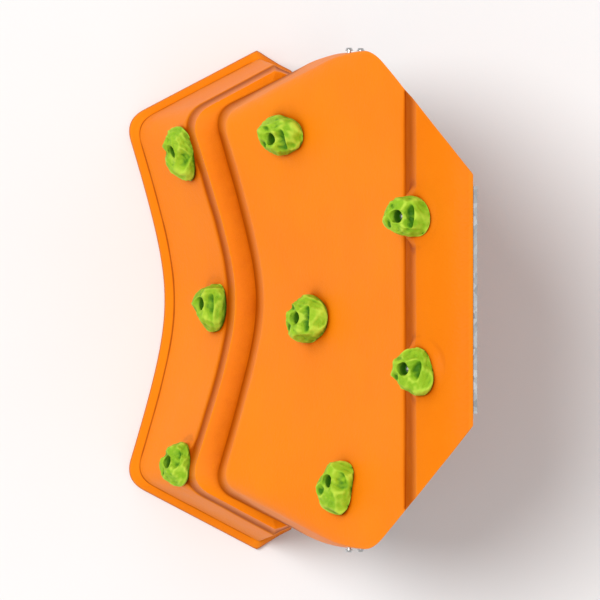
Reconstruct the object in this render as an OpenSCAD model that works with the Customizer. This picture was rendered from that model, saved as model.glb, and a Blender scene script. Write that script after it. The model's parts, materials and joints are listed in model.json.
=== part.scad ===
// Rock climbing wall for a play deck: two moulded shells, eight bolt-on holds,
// a steel deck bracket and a galvanised rear support frame.
// Frame: origin on the ground under the middle of the whole part.
// +Z up, +Y towards the deck, +X to the right when facing the wall.
// Everything is laid out by D, the distance in front of the deck edge, and w, the
// distance from the middle; placed() then moves the deck edge to y = deck_edge_y.

/* [Overall] */
// Height of the deck surface above the ground
deck_h = 1219; // [1150:1:1300]
// Depth from the deck edge to the middle of the front foot
depth = 648; // [624:1:684]
// Width over the upper shell
width = 1030; // [990:1:1070]

/* [Shells] */
// Wall thickness of the moulded shells
wall = 8; // [6:0.5:9]
// Width of the flange turned in at the ground
foot_flange = 50; // [40:1:60]
// Width of the flanges that join the two shells
joint_flange = 50; // [44:1:56]
// Height of the flange turned down at the deck edge
rear_flange = 100; // [90:1:110]
// Radius of the flat pad under each hold
pad_r = 42; // [38:1:44]
// How far a pad stands out of the wall
pad_h = 4; // [2:0.5:5]

/* [Steel] */
// Thickness of the deck bracket
bracket_t = 8; // [6:1:10]
// Height of the deck bracket's upright leg
bracket_h = 148; // [140:1:156]
// Length of the deck bracket
bracket_l = 464; // [440:1:470]
// Outside radius of the leg tubes
leg_r = 21.2; // [19:0.1:24]
// Outside radius of the cross tubes
tie_r = 16.85; // [14:0.05:19]
// Wall thickness of the tubes
tube_t = 2.6; // [2:0.1:3.5]
// Distance of each leg from the middle
leg_x = 440; // [430:1:445]
// Distance of the legs from the deck edge
leg_d = 248; // [246:1:250]

/* [Fasteners] */
// Radius of the hold bolts
hold_bolt_r = 5; // [4:0.5:6]
// Radius of the shell and bracket bolts
bolt_r = 4; // [3:0.5:5]
// Spacing of the deck bolt holes
deck_pitch = 120; // [100:1:125]
// Radius of the deck bolt holes
deck_hole_r = 6.5; // [5:0.5:7]
// Radius of the ground anchor holes
anchor_hole_r = 6; // [5:0.5:7]

/* [Hidden] */
ORANGE = [0.98, 0.53, 0.08];
GREEN = [0.50, 0.78, 0.10];
GALV = [0.66, 0.68, 0.69];
STEEL = [0.78, 0.79, 0.80];
BLACK = [0.10, 0.10, 0.11];
$fn = 48;

// The shell tables are in mm at these nominal sizes and stretch with the driving sizes
nominal_depth = 648;
depth_scale = depth / nominal_depth;
width_scale = width / 1030;
height_scale = deck_h / 1219;
half_width = width / 2;

front_columns = 10;  // columns across half of a front curve
corner_columns = 5;  // columns round a front corner
side_columns = 3;    // columns along a side of the lower shell

hole_clearance = 0.5;  // bolt hole radius over bolt radius
fit = 0.05;            // gap between close-fitting steel parts

// ---- general functions
function unit(v) = v / norm(v);
function mix(a, b, t) = a + (b - a) * t;
function bezier(a, control, b, t) =
    (1 - t) * (1 - t) * a + 2 * t * (1 - t) * control + t * t * b;
function flat(lists) = [for (list = lists) for (item = list) item];
// The lesser of two values, blended where they are within r of each other
function soft_min(a, b, r) = let (h = max(r - abs(a - b), 0) / r) min(a, b) - h * h * r / 4;

// ---- plan outlines
// An outline is a table row:
// [z, middle D, spread, bend, side D, side w, side slope, corner length, side end D, rear points]
// Its front curve is hollow in the middle and nearly straight towards the ends:
//     D = middle + spread * (sqrt(w^2 + bend^2) - bend)
// Its side line is w = side w + slope * (side D - D). The corner between them is rounded.
// The last two columns are only needed by full_half().
function front_d(c, w) = c[1] + c[2] * (sqrt(w * w + c[3] * c[3]) - c[3]);
function side_line_w(c, d) = c[5] + c[6] * (c[4] - d);
// w where the front curve meets the side line
function corner_w(c) =
    let (k = c[6] * c[2], bend = c[3], v = side_line_w(c, c[1]) + k * bend)
    (v - sqrt(v * v - (1 - k * k) * (v * v - k * k * bend * bend))) / (1 - k * k);
// Half of the front with its rounded corner, as [w, D]
function front_half(c) =
    let (w_corner = corner_w(c),
         corner = [w_corner, front_d(c, w_corner)],
         w_start = w_corner - c[7] / norm([1, c[2] * w_corner / norm([w_corner, c[3]])]),
         start = [w_start, front_d(c, w_start)],
         end = corner + c[7] * unit([c[6], -1]),
         points = concat(
             [for (i = [0:front_columns - 1])
                 let (w = w_start * i / front_columns) [w, front_d(c, w)]],
             [for (i = [0:corner_columns]) bezier(start, corner, end, i / corner_columns)]))
    [for (p = points) [p[0] * width_scale, p[1] * depth_scale]];
// The same half carried on back along the side line, then through the rear points
function full_half(c) =
    let (front = front_half(c),
         start = front[len(front) - 1],
         end = [side_line_w(c, c[8]) * width_scale, c[8] * depth_scale])
    concat(front,
           [for (i = [1:side_columns]) mix(start, end, i / side_columns)],
           [for (p = c[9]) [p[0] * width_scale, p[1] * depth_scale]]);
// Both halves joined into one row of 3D points, left to right, at height z
function row(half, z) = concat(
    [for (i = [len(half) - 1:-1:1]) [-half[i][0], -half[i][1], z]],
    [for (p = half) [p[0], -p[1], z]]);

// ---- sheets: a grid holds rows of 3D points, from the bottom up, each left to right
// Outward normal at a grid point, of the face towards the next (step 1) or last (step -1) row
function grid_normal(grid, i, j, step) =
    let (along = grid[i][min(j + 1, len(grid[0]) - 1)] - grid[i][max(j - 1, 0)],
         other = min(max(i + step, 0), len(grid) - 1),
         base = other == i ? i - step : i)
    unit(cross(along, grid[max(base, other)][j] - grid[min(base, other)][j]));
// Moves a point in by the wall thickness from the two faces that meet at it
function mitre(point, normal_1, normal_2) =
    point - wall * (normal_1 + normal_2) / (1 + normal_1 * normal_2);
function inner_point(grid, i, j) =
    mitre(grid[i][j], grid_normal(grid, i, j, -1), grid_normal(grid, i, j, 1));

function quad(a, b, c, d) = [[a, b, c], [a, c, d]];
// Faces of a grid whose first point has the given index
function grid_faces(last_row, last_column, first, outward) =
    [for (i = [0:last_row - 1]) for (j = [0:last_column - 1])
        let (p = first + i * (last_column + 1) + j, q = p + last_column + 1)
        for (f = outward ? quad(p, q, q + 1, p + 1) : quad(p, p + 1, q + 1, q)) f];
// [row, column] once round a grid: bottom, right, top, left
function rim_cells(last_row, last_column) = concat(
    [for (j = [0:last_column]) [0, j]],
    [for (i = [1:last_row]) [i, last_column]],
    [for (j = [last_column - 1:-1:0]) [last_row, j]],
    [for (i = [last_row - 1:-1:1]) [i, 0]]);
// Bands of faces, each from one closed loop of point indices to the next
function band_faces(loops) =
    [for (s = [0:len(loops) - 2]) for (k = [0:len(loops[s]) - 1])
        let (a = loops[s], b = loops[s + 1], n = (k + 1) % len(a))
        for (f = quad(a[k], a[n], b[n], b[k])) f];

module thick_sheet(grid) {
    last_row = len(grid) - 1;
    last_column = len(grid[0]) - 1;
    inner = (last_row + 1) * (last_column + 1);  // index of the first inner point
    edge = [for (c = rim_cells(last_row, last_column)) c[0] * (last_column + 1) + c[1]];
    polyhedron(
        points = concat(
            flat(grid),
            [for (i = [0:last_row]) for (j = [0:last_column]) inner_point(grid, i, j)]),
        faces = concat(
            grid_faces(last_row, last_column, 0, true),
            grid_faces(last_row, last_column, inner, false),
            band_faces([edge, [for (p = edge) p + inner]])));
}

// ---- lower shell
foot_flange_side = foot_flange * 1.14;   // side line shift over the ground flange
joint_flange_side = joint_flange * 0.86; // side line shift over the joint flange
// Outlines from the inner edge of the ground flange up to the inner edge of the joint flange
lower_outlines = [
    [0, nominal_depth - foot_flange, 0.33, 150, 451, 528 - foot_flange_side, 0.52, 36,
     446, [[453, 405], [440, 379]]],
    [0, nominal_depth, 0.33, 150, 451, 528, 0.52, 46, 451, [[499, 405], [485, 378]]],
    [20, 646, 0.33, 150, 451, 526, 0.52, 46, 451, [[498, 405], [484, 378]]],
    [36, 627, 0.33, 150, 447, 510, 0.52, 44, 447, [[490, 404], [479, 378]]],
    [270, 511, 0.345, 125, 414, 494, 0.531, 52, 414, [[486, 400], [477, 378]]],
    [380, 495, 0.345, 125, 412, 479, 0.531, 50, 412, [[476, 398], [468, 378]]],
    [388, 454, 0.31, 120, 418, 457, 0.500, 48, 418, [[458, 398], [452, 378]]],
    [388, 454 - joint_flange, 0.31, 120, 425, 457 - joint_flange_side, 0.450, 38,
     425, [[416, 402], [408, 379]]]];
lower_z = [for (c = lower_outlines) c[0] * height_scale];
lower_grid = [for (i = [0:len(lower_outlines) - 1]) row(full_half(lower_outlines[i]), lower_z[i])];
foot_outline = 1;      // outer edge of the ground flange
face_outlines = [3, 4];  // bottom and top of the face that carries the holds
joint_outline = 6;     // outer edge of the joint flange

deck_edge_y = max([for (p = lower_grid[foot_outline]) -p[1]]) / 2;
module placed() translate([0, deck_edge_y, 0]) children();

// Anchor holes in the ground flange
anchor_x = 200 * width_scale;
anchor_d = lookup(anchor_x, full_half(lower_outlines[foot_outline])) - foot_flange * 0.55;

// ---- upper shell: a sloped face, an upper riser and a rounded lip, with a skirt all round
slope_outline = [520, 437.5, 0.31, 120, 404, 446, 0.5, 44];    // bottom of the sloped face
skirt_outline = [388.5, 454.5, 0.31, 120, 412, 460, 0.5, 48];  // front foot of the skirt
joint_z = skirt_outline[0] * height_scale;   // underside of the joint flange
slope_z0 = slope_outline[0] * height_scale;  // bottom of the sloped face
slope_z1 = 1050 * height_scale;              // top of the sloped face
riser_d0 = 146 * depth_scale;                // foot of the upper riser
riser_d1 = 124 * depth_scale;                // top of the upper riser
rear_d = bracket_t;                          // outside of the rear flange
lip_curve = 0.0043 * height_scale;           // how fast the lip rounds over
skirt_rise_d = 378 * depth_scale;            // where the skirt leaves the lower shell
rear_z = deck_h - rear_flange;
slope_half = front_half(slope_outline);
skirt_half = front_half(skirt_outline);
slope_corner = slope_half[len(slope_half) - 1];  // [w, D]
skirt_corner_d = skirt_half[len(skirt_half) - 1][1];

// Side w at D: the outline's side line, held to the widest w and to a line that narrows
// to rear_w at the deck edge
function upper_side_w(outline, widest, rear_w, d) =
    soft_min(
        soft_min(side_line_w(outline, d / depth_scale) * width_scale, widest, 26),
        (rear_w + 1.27 * d / depth_scale) * width_scale,
        26);
function top_w(d) = upper_side_w(slope_outline, 514 * width_scale, 247, d);
function skirt_w(d) = upper_side_w(skirt_outline, half_width, 248, d);
function lip_z(d) = deck_h - lip_curve * (d - rear_d) * (d - rear_d);
function skirt_z(d) = d > skirt_rise_d ? joint_z
    : joint_z + (skirt_rise_d - d) / (skirt_rise_d - rear_d) * (rear_z - joint_z);

// Rows up the sloped face as fractions, closer round the widest part, then rows over the lip
slope_rows = [0, 0.15, 0.3, 0.45, 0.6, 0.7, 0.8, 0.9, 1];
last_slope = len(slope_rows) - 1;
lip_steps = 4;
lip_rows = [for (i = [0:lip_steps]) mix(riser_d1, rear_d, i / lip_steps)];
last_upper = last_slope + 1 + lip_steps;
// D on row i of the line that starts at front_d on row 0
function row_d(i, front_d) =
    i <= last_slope ? mix(front_d, riser_d0, slope_rows[i]) : lip_rows[i - last_slope - 1];
function row_z(i) = i <= last_slope ? mix(slope_z0, slope_z1, slope_rows[i])
    : lip_z(lip_rows[i - last_slope - 1]);
// Half of row i of the top surface, as [w, D]
function top_half(i) = let (w_end = top_w(row_d(i, slope_corner[1])))
    [for (p = slope_half) [i == 0 ? p[0] : p[0] / slope_corner[0] * w_end, row_d(i, p[1])]];
upper_grid = [for (i = [0:last_upper]) row(top_half(i), row_z(i))];
upper_end = len(upper_grid[0]) - 1;

// The rim of the top surface runs front, right, rear, left; rings below follow it
rim = rim_cells(last_upper, upper_end);
rim_count = len(rim);
function rim_index(i, j) = i == 0 ? j
    : i == last_upper ? 2 * upper_end + last_upper - j
    : j == upper_end ? upper_end + i
    : 2 * upper_end + 2 * last_upper - i;
skirt_front = row(skirt_half, joint_z);
function skirt_point(k) =
    let (i = rim[k][0], j = rim[k][1], side = j == 0 ? -1 : 1, d = row_d(i, skirt_corner_d))
    i == 0 ? skirt_front[j]
    : i == last_upper ? [upper_grid[i][j][0], -rear_d, rear_z]
    : [side * skirt_w(d), -d, skirt_z(d)];
skirt_ring = [for (k = [0:rim_count - 1]) skirt_point(k)];
function ring_along(k) =
    skirt_ring[(k + 1) % rim_count] - skirt_ring[(k + rim_count - 1) % rim_count];
function ring_inward(k) = let (along = ring_along(k)) unit([-along[1], along[0], 0]);
// Width of the flange turned in at the skirt's foot: front, rear, sides
function turn_in(k) =
    rim[k][0] == 0 ? joint_flange - 5 : rim[k][0] == last_upper ? 16 : 25;
flange_ring = [for (k = [0:rim_count - 1]) skirt_ring[k] + turn_in(k) * ring_inward(k)];

// Outward normals of the flange, the skirt and the top surface at the rim
function flange_normal(k) = unit(cross(ring_inward(k), ring_along(k)));
function skirt_normal(k) =
    unit(cross(ring_along(k), upper_grid[rim[k][0]][rim[k][1]] - skirt_ring[k]));
function rim_normal(k) = let (i = rim[k][0], j = rim[k][1])
    i == 0 ? grid_normal(upper_grid, i, j, 1)
    : i == last_upper ? grid_normal(upper_grid, i, j, -1)
    : unit(grid_normal(upper_grid, i, j, 1) + grid_normal(upper_grid, i, j, -1));
function inner_rim_point(k) =
    mitre(upper_grid[rim[k][0]][rim[k][1]], rim_normal(k), skirt_normal(k));
function on_rim(i, j) = i == 0 || i == last_upper || j == 0 || j == upper_end;

module upper_skin() {
    inner = (last_upper + 1) * (upper_end + 1);  // index of the first inner grid point
    rings = 2 * inner;                           // index of the first ring point
    edge = [for (c = rim) c[0] * (upper_end + 1) + c[1]];
    polyhedron(
        points = concat(
            flat(upper_grid),
            [for (i = [0:last_upper]) for (j = [0:upper_end])
                on_rim(i, j) ? inner_rim_point(rim_index(i, j)) : inner_point(upper_grid, i, j)],
            skirt_ring,
            flange_ring,
            [for (k = [0:rim_count - 1]) flange_ring[k] - wall * flange_normal(k)],
            [for (k = [0:rim_count - 1])
                mitre(skirt_ring[k], skirt_normal(k), flange_normal(k))]),
        faces = concat(
            grid_faces(last_upper, upper_end, 0, true),
            grid_faces(last_upper, upper_end, inner, false),
            // Down the skirt, in along the flange, back out and up the inside
            band_faces(concat(
                [edge],
                [for (s = [0:3]) [for (k = [0:rim_count - 1]) rings + s * rim_count + k]],
                [[for (p = edge) p + inner]]))));
}

// ---- hold positions
LOWER = 0;
UPPER = 1;
LIP = 2;
// [surface, x, v, turn, shape]; v is the fraction up the face, or on the lip how far in
// front of the upper riser's top the middle lies
// shape: [radius, share and angle of the first three harmonics of the outline, height,
// tilt, tilt angle]
holds = [
    [LOWER, -320, 0.87, 8, [53, 0.20, 0, 0.19, 0, 0.06, 0, 36, 0.16, 250]],
    [LOWER, 9, 0.79, 0, [52, 0.14, 20, 0.03, 90, 0.06, 20, 41, 0.14, 230]],
    [LOWER, 346, 0.88, 6, [46, 0.12, 30, 0.05, 10, 0.07, 30, 38, 0.15, 240]],
    [UPPER, -340, 0.325, 10, [48, 0.10, 180, 0.15, 90, 0.08, 100, 50, 0.16, 225]],
    [UPPER, 39, 0.37, 10, [52, 0.10, 70, 0.04, 90, 0.09, 75, 50, 0.16, 250]],
    [UPPER, 376, 0.645, -22, [51, 0.20, 0, 0.13, 0, 0.07, 20, 42, 0.15, 260]],
    [LIP, -171, 7, -6, [48, 0.04, 90, 0.14, 90, 0.04, 50, 49, 0.18, 270]],
    [LIP, 140, -4, 0, [47, 0.16, 35, 0.06, 35, 0.08, 35, 46, 0.16, 240]]];
lower_holds = [0:2];
upper_holds = [3:7];
all_holds = [0:7];

face_halves = [for (i = face_outlines) full_half(lower_outlines[i])];
face_z = [for (i = face_outlines) lower_z[i]];
function lower_point(x, v) = let (w = abs(x))
    [x, -mix(lookup(w, face_halves[0]), lookup(w, face_halves[1]), v),
     mix(face_z[0], face_z[1], v)];
function upper_point(x, v) =
    let (w = abs(x) * slope_corner[0] / top_w(mix(slope_corner[1], riser_d0, v)))
    [x, -mix(lookup(w, slope_half), riser_d0, v), mix(slope_z0, slope_z1, v)];
function lip_point(x, v) = let (d = riser_d1 + v * depth_scale) [x, -d, lip_z(d)];
function surface_point(surface, x, v) = surface == LOWER ? lower_point(x, v)
    : surface == UPPER ? upper_point(x, v)
    : lip_point(x, v);
function hold_point(k) = surface_point(holds[k][0], holds[k][1] * width_scale, holds[k][2]);
// Normals are taken over a small patch round the hold; those on the lip lean back 45 degrees
function hold_normal(k) =
    let (surface = holds[k][0], x = holds[k][1] * width_scale, v = holds[k][2],
         dx = 18, dv = 0.1)
    surface == LIP ? unit([0, -1, 1])
    : unit(cross(surface_point(surface, x + dx, v) - surface_point(surface, x - dx, v),
                 surface_point(surface, x, v + dv) - surface_point(surface, x, v - dv)));
// How far a pad reaches behind the nominal surface
function pad_back(k) = holds[k][0] == LIP ? 42 : wall + 4;

// Local frame of hold k: x across the wall, y up the slope, z straight out of the surface
module on_pad(k) {
    out = hold_normal(k);
    across = unit(cross([0, 1, 0], out));
    up = cross(out, across);
    at = hold_point(k);
    multmatrix([[across[0], up[0], out[0], at[0]],
                [across[1], up[1], out[1], at[1]],
                [across[2], up[2], out[2], at[2]],
                [0, 0, 0, 1]]) children();
}
module pad(k)
    on_pad(k) translate([0, 0, -pad_back(k)])
        cylinder(r = pad_r, h = pad_back(k) + pad_h, $fn = 64);
module pad_bore(k)
    on_pad(k) translate([0, 0, -pad_back(k) - 30])
        cylinder(r = hold_bolt_r + hole_clearance, h = pad_back(k) + 60);

// ---- holds
hold_sides = 28;
hold_base_z = pad_h + 0.2;  // holds sit just clear of their pads
// [share of the outline, share of the height] from the back edge to the dished middle
hold_profile = [[0.97, 0], [1.0, 0.10], [1.0, 0.30], [0.95, 0.55],
                [0.84, 0.80], [0.66, 0.96], [0.48, 1.0], [0.34, 0.93]];
function hold_radius(shape, a) = shape[0] * (1 + shape[1] * cos(a - shape[2])
    + shape[3] * cos(2 * (a - shape[4])) + shape[5] * cos(3 * (a - shape[6])));
function hold_height(shape, a, p) =
    shape[7] * p[1] * (1 + shape[8] * cos(a - shape[9]) * p[0]);
// Height of the bolt head's seat in the hold
function seat_z(shape) = shape[7] * 0.42;

module hold_body(shape) {
    last_ring = len(hold_profile) - 1;
    back_middle = (last_ring + 1) * hold_sides;
    front_middle = back_middle + 1;
    points = concat(
        [for (p = hold_profile) for (i = [0:hold_sides - 1])
            let (a = i * 360 / hold_sides, r = hold_radius(shape, a) * p[0])
            [r * cos(a), r * sin(a), hold_height(shape, a, p)]],
        [[0, 0, 0], [0, 0, shape[7] * 0.88]]);
    faces = concat(
        [for (j = [0:last_ring - 1]) for (i = [0:hold_sides - 1])
            let (p = j * hold_sides, q = p + hold_sides, n = (i + 1) % hold_sides)
            for (f = quad(p + i, q + i, q + n, p + n)) f],
        [for (i = [0:hold_sides - 1]) [back_middle, i, (i + 1) % hold_sides]],
        [for (i = [0:hold_sides - 1]) let (p = last_ring * hold_sides)
            [front_middle, p + (i + 1) % hold_sides, p + i]]);
    polyhedron(points = points, faces = faces);
}
module hold(k) {
    shape = holds[k][4];
    placed() color(GREEN) on_pad(k)
        translate([0, 0, hold_base_z]) rotate([0, 0, holds[k][3]]) difference() {
            hold_body(shape);
            translate([0, 0, -10]) cylinder(r = hold_bolt_r + hole_clearance, h = 100);
            translate([0, 0, seat_z(shape)]) cylinder(r = hold_bolt_r + 7.5, h = 100);
        }
}
module hold_1() hold(0);
module hold_2() hold(1);
module hold_3() hold(2);
module hold_4() hold(3);
module hold_5() hold(4);
module hold_6() hold(5);
module hold_7() hold(6);
module hold_8() hold(7);

// ---- fasteners along local z; their proportions are multiples of the bolt radius
washer_t = 1.6;
stack_gap = 0.15;     // running gap between parts of a bolted stack
bolt_end = 3;         // bolt past its nut
hold_bolt_end = 3.5;  // the same for the hold bolts
function nut_h(r) = r * 1.6;

// The head's underside is at z = 0 and the shank goes down
module button_bolt(r, shank) {
    difference() {
        union() {
            cylinder(r1 = r * 1.9, r2 = r * 1.45, h = r * 1.1);
            translate([0, 0, -shank]) cylinder(r = r, h = shank + 0.5);
        }
        translate([0, 0, r * 0.35]) cylinder(r = r * 0.72, h = r * 2, $fn = 6);
    }
}
module ring_washer(r) difference() {
    cylinder(r = r * 2.1, h = washer_t);
    translate([0, 0, -1]) cylinder(r = r + 0.3, h = washer_t + 2);
}
module hex_nut(r) difference() {
    cylinder(r = r * 1.95, h = nut_h(r), $fn = 6);
    translate([0, 0, -1]) cylinder(r = r + fit, h = nut_h(r) + 2);
}
// Parts of a bolted stack: the clamped parts lie from z = 0 down to z = -grip
head_z = washer_t + 2 * stack_gap;  // underside of a head that has a washer
module stack_bolt(r, grip)
    translate([0, 0, head_z]) button_bolt(r, grip + 2 * head_z + nut_h(r) + bolt_end);
module head_washer(r) translate([0, 0, stack_gap]) ring_washer(r);
module nut_washer(r, grip) translate([0, 0, -grip - stack_gap - washer_t]) ring_washer(r);
module stack_nut(r, grip) translate([0, 0, -grip - head_z - nut_h(r)]) hex_nut(r);

module hold_bolts() placed() color(STEEL) for (k = all_holds) {
    seat = seat_z(holds[k][4]);
    on_pad(k) translate([0, 0, hold_base_z + seat + stack_gap])
        button_bolt(hold_bolt_r, seat + pad_h + pad_back(k) + washer_t
                                 + nut_h(hold_bolt_r) + hold_bolt_end);
}
module hold_washers() placed() color(STEEL)
    for (k = all_holds) on_pad(k) nut_washer(hold_bolt_r, pad_back(k));
module hold_nuts() placed() color(STEEL)
    for (k = all_holds) on_pad(k) stack_nut(hold_bolt_r, pad_back(k));

// Bolts down through the two joint flanges
section_bolt_x = [-280, -140, 0, 140, 280];
section_top = joint_z + wall;
section_grip = section_top - (lower_z[joint_outline] - wall);
module at_section() for (x = section_bolt_x * width_scale)
    translate([x, joint_flange * 0.5 - lookup(abs(x), skirt_half), section_top]) children();
module section_bores() at_section()
    translate([0, 0, -section_grip - 20]) cylinder(r = bolt_r + hole_clearance, h = 60);
module section_bolts() placed() color(STEEL) at_section() stack_bolt(bolt_r, section_grip);
module section_washers() placed() color(STEEL) at_section() {
    head_washer(bolt_r);
    nut_washer(bolt_r, section_grip);
}
module section_nuts() placed() color(STEEL) at_section() stack_nut(bolt_r, section_grip);

// Bolts through the rear flange into the deck bracket; local z runs away from the deck
rear_bolt_z = deck_h - 54;
module at_rear() for (i = [-1.5:1:1.5])
    translate([i * deck_pitch, 0, rear_bolt_z]) rotate([90, 0, 0]) children();

// Bolts through the shell's sides into the leg tabs; local z runs out from the middle
side_bolts = [[12, 752 * height_scale], [-12, 800 * height_scale]];  // [y from the leg, z]
tab_x = half_width - wall - 1.4;  // outer face of the tab
tab_t = 6;
tab_margin = 26;                  // tab above and below its bolts
tab_depth = 52;
side_grip = half_width - tab_x + tab_t;
module at_sides() for (s = [-1, 1]) for (b = side_bolts)
    translate([s * half_width, -leg_d + b[0], b[1]]) rotate([0, s * 90, 0]) children();

// ---- the two shells
module lower_section() placed() color(ORANGE) difference() {
    union() {
        thick_sheet(lower_grid);
        for (k = lower_holds) pad(k);
    }
    for (k = lower_holds) pad_bore(k);
    section_bores();
    for (s = [-1, 1])
        translate([s * anchor_x, -anchor_d, -10]) cylinder(r = anchor_hole_r, h = 40);
}
module upper_section() placed() color(ORANGE) difference() {
    union() {
        upper_skin();
        for (k = upper_holds) pad(k);
    }
    for (k = upper_holds) pad_bore(k);
    section_bores();
    at_rear() translate([0, 0, -5]) cylinder(r = bolt_r + hole_clearance, h = 50);
    at_sides() translate([0, 0, -40]) cylinder(r = bolt_r + hole_clearance, h = 60);
}

// ---- deck bracket: a steel angle against the deck edge
bracket_z = deck_h - 4 - bracket_h;  // underside
bracket_foot = bracket_t + 42;       // depth of the level leg
deck_hole_z = bracket_z + 32;
module deck_bracket() placed() color(GALV) difference() {
    union() {
        translate([-bracket_l / 2, -bracket_t, bracket_z])
            cube([bracket_l, bracket_t, bracket_h]);
        translate([-bracket_l / 2, -bracket_foot, bracket_z])
            cube([bracket_l, bracket_foot, bracket_t]);
    }
    at_rear() translate([0, 0, -5]) cylinder(r = bolt_r + fit, h = 50);
    for (i = [-1.5:1:1.5])
        translate([i * deck_pitch, -40, deck_hole_z]) rotate([-90, 0, 0])
            cylinder(r = deck_hole_r, h = 60);
}
rear_stack = bracket_t + wall;
module bracket_bolts() placed() color(STEEL) at_rear()
    translate([0, 0, rear_stack + head_z]) button_bolt(bolt_r, rear_stack + head_z - 0.5);
module bracket_washers() placed() color(STEEL) at_rear()
    translate([0, 0, rear_stack]) head_washer(bolt_r);

// ---- rear support frame; s is -1 for the left side and 1 for the right
plate_t = 8;
plate_size = 116;
plate_hole_pitch = 84;
leg_top = side_bolts[1][1] + tab_margin;
upper_tube_z = 690 * height_scale;
lower_tube_z = 150 * height_scale;
module tube(r, h) difference() {
    cylinder(r = r, h = h);
    translate([0, 0, -1]) cylinder(r = r - tube_t, h = h + 2);
}
module leg(s) placed() color(GALV)
    translate([s * leg_x, -leg_d, plate_t]) tube(leg_r, leg_top - plate_t);
module left_leg() leg(-1);
module right_leg() leg(1);

module base_plate(s) placed() color(GALV) translate([s * leg_x, -leg_d, 0]) difference() {
    translate([-plate_size / 2, -plate_size / 2, 0])
        cube([plate_size, plate_size, plate_t - 0.01]);
    for (a = [-1, 1]) for (b = [-1, 1])
        translate([a * plate_hole_pitch / 2, b * plate_hole_pitch / 2, -1])
            cylinder(r = anchor_hole_r, h = plate_t + 2);
}
module left_base_plate() base_plate(-1);
module right_base_plate() base_plate(1);

// Tab with a web from the leg and a plate against the inside of the shell's side.
// A block spans the given distances from the middle, over the height of the tab.
module tab_block(s, from, to, block_depth)
    translate([s > 0 ? from : -to, -leg_d - block_depth / 2, side_bolts[0][1] - tab_margin])
        cube([to - from, block_depth, side_bolts[1][1] - side_bolts[0][1] + 2 * tab_margin]);
module leg_tab(s) placed() color(GALV) difference() {
    union() {
        tab_block(s, tab_x - tab_t, tab_x, tab_depth);
        tab_block(s, leg_x, tab_x - tab_t + 1, tab_t);
    }
    translate([s * leg_x, -leg_d, 0]) cylinder(r = leg_r + fit, h = 2000);
    at_sides() translate([0, 0, -60]) cylinder(r = bolt_r + hole_clearance, h = 90);
}
module left_leg_tab() leg_tab(-1);
module right_leg_tab() leg_tab(1);

module cross_tube(z) placed() color(GALV) difference() {
    translate([-leg_x, -leg_d, z]) rotate([0, 90, 0]) tube(tie_r, 2 * leg_x);
    for (s = [-1, 1])
        translate([s * leg_x, -leg_d, z - 100]) cylinder(r = leg_r + fit, h = 200);
}
module upper_cross_tube() cross_tube(upper_tube_z);
module lower_cross_tube() cross_tube(lower_tube_z);

module leg_caps() placed() color(BLACK)
    for (s = [-1, 1]) translate([s * leg_x, -leg_d, leg_top]) {
        translate([0, 0, fit]) cylinder(r1 = leg_r, r2 = leg_r - 3, h = 4);
        translate([0, 0, -14]) cylinder(r = leg_r - tube_t - 0.1, h = 14.5);
    }
module leg_bolts() placed() color(STEEL) at_sides() stack_bolt(bolt_r, side_grip);
module leg_washers() placed() color(STEEL) at_sides() {
    head_washer(bolt_r);
    nut_washer(bolt_r, side_grip);
}
module leg_nuts() placed() color(STEEL) at_sides() stack_nut(bolt_r, side_grip);

lower_section();
upper_section();
hold_1();
hold_2();
hold_3();
hold_4();
hold_5();
hold_6();
hold_7();
hold_8();
hold_bolts();
hold_washers();
hold_nuts();
section_bolts();
section_washers();
section_nuts();
deck_bracket();
bracket_bolts();
bracket_washers();
left_leg();
right_leg();
left_leg_tab();
right_leg_tab();
left_base_plate();
right_base_plate();
upper_cross_tube();
lower_cross_tube();
leg_caps();
leg_bolts();
leg_washers();
leg_nuts();
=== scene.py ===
import json
import math
from collections import namedtuple

import bmesh
import bpy
import numpy as np
from mathutils import Matrix, Vector
from mathutils.bvhtree import BVHTree


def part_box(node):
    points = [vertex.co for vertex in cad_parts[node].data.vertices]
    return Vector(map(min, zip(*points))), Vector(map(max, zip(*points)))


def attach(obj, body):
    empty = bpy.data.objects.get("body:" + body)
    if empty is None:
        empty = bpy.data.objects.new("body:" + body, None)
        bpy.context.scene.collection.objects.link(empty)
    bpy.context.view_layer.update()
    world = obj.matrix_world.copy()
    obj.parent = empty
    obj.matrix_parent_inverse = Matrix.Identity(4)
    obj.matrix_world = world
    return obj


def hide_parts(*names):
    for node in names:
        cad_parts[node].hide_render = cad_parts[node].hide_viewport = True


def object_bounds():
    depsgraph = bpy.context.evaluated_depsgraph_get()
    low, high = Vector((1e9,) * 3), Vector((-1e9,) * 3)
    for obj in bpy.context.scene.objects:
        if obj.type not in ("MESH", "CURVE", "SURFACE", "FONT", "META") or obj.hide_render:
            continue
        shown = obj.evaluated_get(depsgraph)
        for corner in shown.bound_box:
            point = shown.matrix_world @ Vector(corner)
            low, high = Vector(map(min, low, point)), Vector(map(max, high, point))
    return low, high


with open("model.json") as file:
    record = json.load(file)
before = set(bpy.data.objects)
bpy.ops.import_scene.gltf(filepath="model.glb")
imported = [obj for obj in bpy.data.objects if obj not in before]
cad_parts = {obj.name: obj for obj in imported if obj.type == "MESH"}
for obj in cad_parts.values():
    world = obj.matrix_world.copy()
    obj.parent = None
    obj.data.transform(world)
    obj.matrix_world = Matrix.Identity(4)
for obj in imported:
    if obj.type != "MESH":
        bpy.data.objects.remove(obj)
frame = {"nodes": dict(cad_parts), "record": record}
CAD_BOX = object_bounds()
MM = 0.001
SHIFT = np.array([0, CAD_BOX[1].y / MM, 0])     # from the deck edge to the scene's origin


# ------------------------------------------------------------------ small maths
def unit(vectors):
    vectors = np.asarray(vectors, float)
    length = np.linalg.norm(vectors, axis=-1, keepdims=True)
    return vectors / np.maximum(length, 1e-12)


def mix(start, end, part):
    return start + (end - start) * part


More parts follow.
